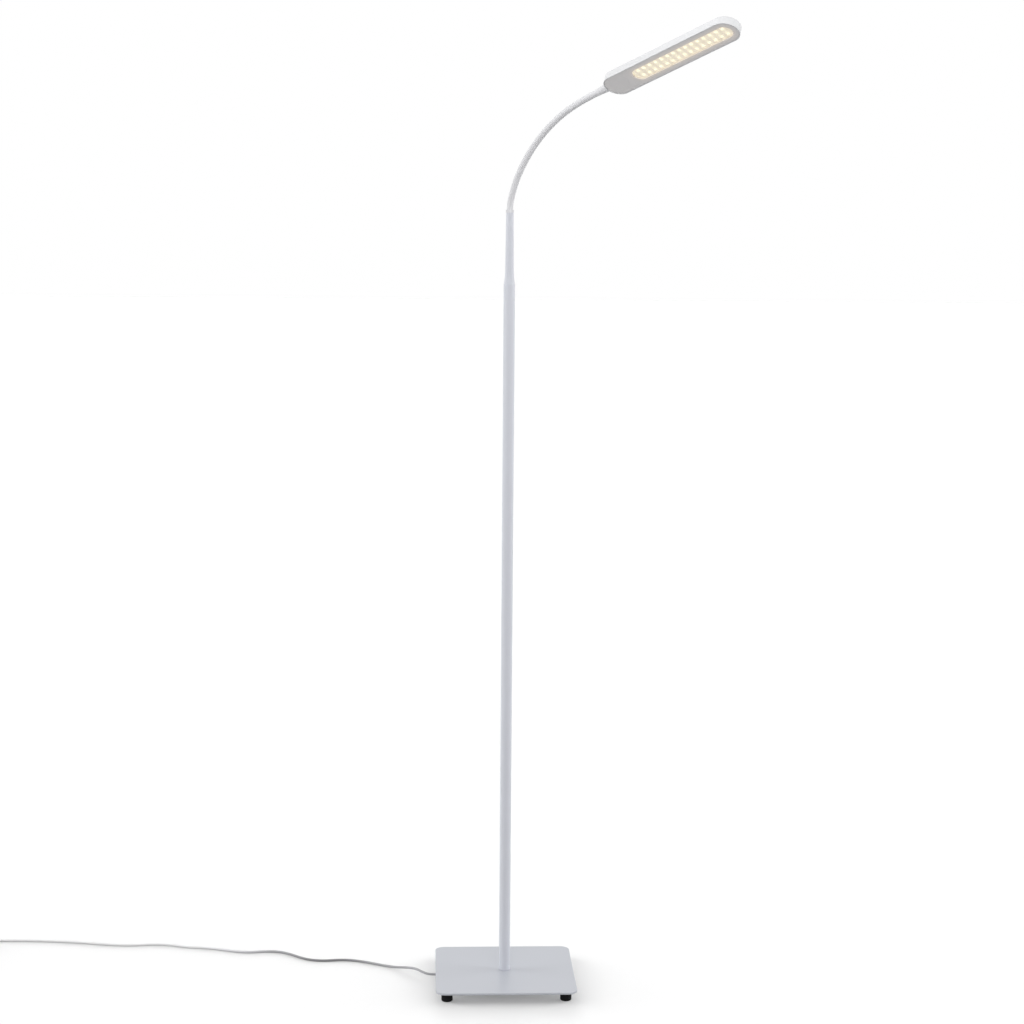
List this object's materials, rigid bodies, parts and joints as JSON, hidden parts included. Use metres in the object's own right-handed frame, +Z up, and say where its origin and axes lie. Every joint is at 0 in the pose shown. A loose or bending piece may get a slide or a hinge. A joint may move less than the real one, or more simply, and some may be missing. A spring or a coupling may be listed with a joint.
{
  "type": "gooseneck reading floor lamp",
  "caption": "Slim floor lamp: square plate base, upright pole in screwed sections, bendable gooseneck and a flat round-ended LED head; thin lead with wall adapter.",
  "frame": {"origin": "middle of the square base, on the floor that the feet stand on", "axes": "+Z up along the pole, X and Y along the base plate's edges, -Y the front, the lead leaves towards -X"},
  "size_m": [1.1137, 0.5218, 1.3365],
  "materials": {
    "base_paint": "fine satin silver-grey paint",
    "foot_rubber": "matt black rubber",
    "plain_steel": "zinc plated",
    "black_plastic": "matt moulded",
    "cord_vinyl": "smooth pale vinyl",
    "pole_paint": "satin silver-grey paint",
    "bright_ring": "polished",
    "neck_sleeve": "smooth matt silicone",
    "neck_steel": "wound strip steel",
    "saddle_plastic": "moulded",
    "head_paint": "satin pale paint",
    "bezel_paint": "smooth grey",
    "clear_pane": "clear",
    "white_plastic": "reflective white",
    "board_white": "white solder resist",
    "led_lens": "warm phosphor",
    "board_green": "solder resist",
    "copper_plate": "tinned copper",
    "wire_vinyl": "vinyl",
    "plug_plastic": "fine moulded texture",
    "pin_metal": "nickel plated"
  },
  "bodies": {
    "root": {"base_plate": "base_paint", "foot_1": "foot_rubber", "foot_2": "foot_rubber", "foot_3": "foot_rubber", "foot_4": "foot_rubber", "base_screws": "plain_steel", "base_stud": "plain_steel", "base_washer": "plain_steel", "base_nut": "plain_steel", "cable_bush": "black_plastic", "lead_clamp": "black_plastic", "strain_relief": "cord_vinyl", "pole_lead": "cord_vinyl", "pole_lower": "pole_paint", "pole_middle": "pole_paint", "pole_upper": "pole_paint", "pole_insert": "plain_steel", "joiner_lower": "plain_steel", "joiner_upper": "plain_steel", "neck_cone": "pole_paint", "neck_holder": "pole_paint", "neck_collar": "bright_ring", "cord_run": "cord_vinyl", "cord_coil": "cord_vinyl", "plug_body": "plug_plastic", "plug_pins": "pin_metal"},
    "link_1": {"neck_sleeve_1": "neck_sleeve", "neck_core_1": "neck_steel", "neck_lead_1": "cord_vinyl"},
    "link_2": {"neck_sleeve_2": "neck_sleeve", "neck_core_2": "neck_steel", "neck_lead_2": "cord_vinyl"},
    "link_3": {"neck_sleeve_3": "neck_sleeve", "neck_core_3": "neck_steel", "neck_lead_3": "cord_vinyl"},
    "link_4": {"neck_sleeve_4": "neck_sleeve", "neck_core_4": "neck_steel", "neck_lead_4": "cord_vinyl"},
    "link_5": {"neck_sleeve_5": "neck_sleeve", "neck_core_5": "neck_steel", "neck_lead_5": "cord_vinyl"},
    "link_6": {"neck_sleeve_6": "neck_sleeve", "neck_core_6": "neck_steel", "neck_lead_6": "cord_vinyl"},
    "link_7": {"neck_sleeve_7": "neck_sleeve", "neck_core_7": "neck_steel", "neck_lead_7": "cord_vinyl", "neck_ferrule": "plain_steel"},
    "head": {"neck_saddle": "saddle_plastic", "head_housing": "head_paint", "bezel_cover": "bezel_paint", "window_lens": "clear_pane", "reflector_frame": "white_plastic", "led_board": "board_white", "leds": "led_lens", "driver_board": "board_green", "touch_pad": "copper_plate", "head_screws": "plain_steel", "head_wires": "wire_vinyl"}
  },
  "joints": [
    {"name": "neck_direction", "type": "hinge", "parent": "root", "child": "link_1", "pos_m": [0, 0, 1.1085], "axis": [0, 0, 1], "range_deg": [-180, 180]},
    {"name": "neck_bend", "type": "hinge", "parent": "link_1", "child": "link_2", "pos_m": [0.00193, -0.00244, 1.12614], "axis": [0.7842, 0.6205, 0], "range_deg": [-22, 31.5]},
    {"name": "neck_bend_2", "type": "hinge", "parent": "link_2", "child": "link_3", "pos_m": [0.01383, -0.01749, 1.16268], "axis": [0.7842, 0.6205, 0], "range_deg": [-14, 20]},
    {"name": "neck_bend_3", "type": "hinge", "parent": "link_3", "child": "link_4", "pos_m": [0.03066, -0.03875, 1.19388], "axis": [0.7842, 0.6205, 0], "range_deg": [-12, 17.2]},
    {"name": "neck_bend_4", "type": "hinge", "parent": "link_4", "child": "link_5", "pos_m": [0.05081, -0.06422, 1.21947], "axis": [0.7842, 0.6205, 0], "range_deg": [-11, 15.8]},
    {"name": "neck_bend_5", "type": "hinge", "parent": "link_5", "child": "link_6", "pos_m": [0.07341, -0.09278, 1.23905], "axis": [0.7842, 0.6205, 0], "range_deg": [-9, 12.9]},
    {"name": "neck_bend_6", "type": "hinge", "parent": "link_6", "child": "link_7", "pos_m": [0.0975, -0.12324, 1.25333], "axis": [0.7842, 0.6205, 0], "range_deg": [-6, 8.6]},
    {"name": "head_turn", "type": "hinge", "parent": "link_7", "child": "head", "pos_m": [0.12217, -0.15441, 1.26488], "axis": [0.5982, -0.7561, 0.2656], "range_deg": [-180.02, 180.02]}
  ],
  "couplings": [
    {"joint": "head_turn", "follows": "neck_direction", "ratio": -1}
  ]
}
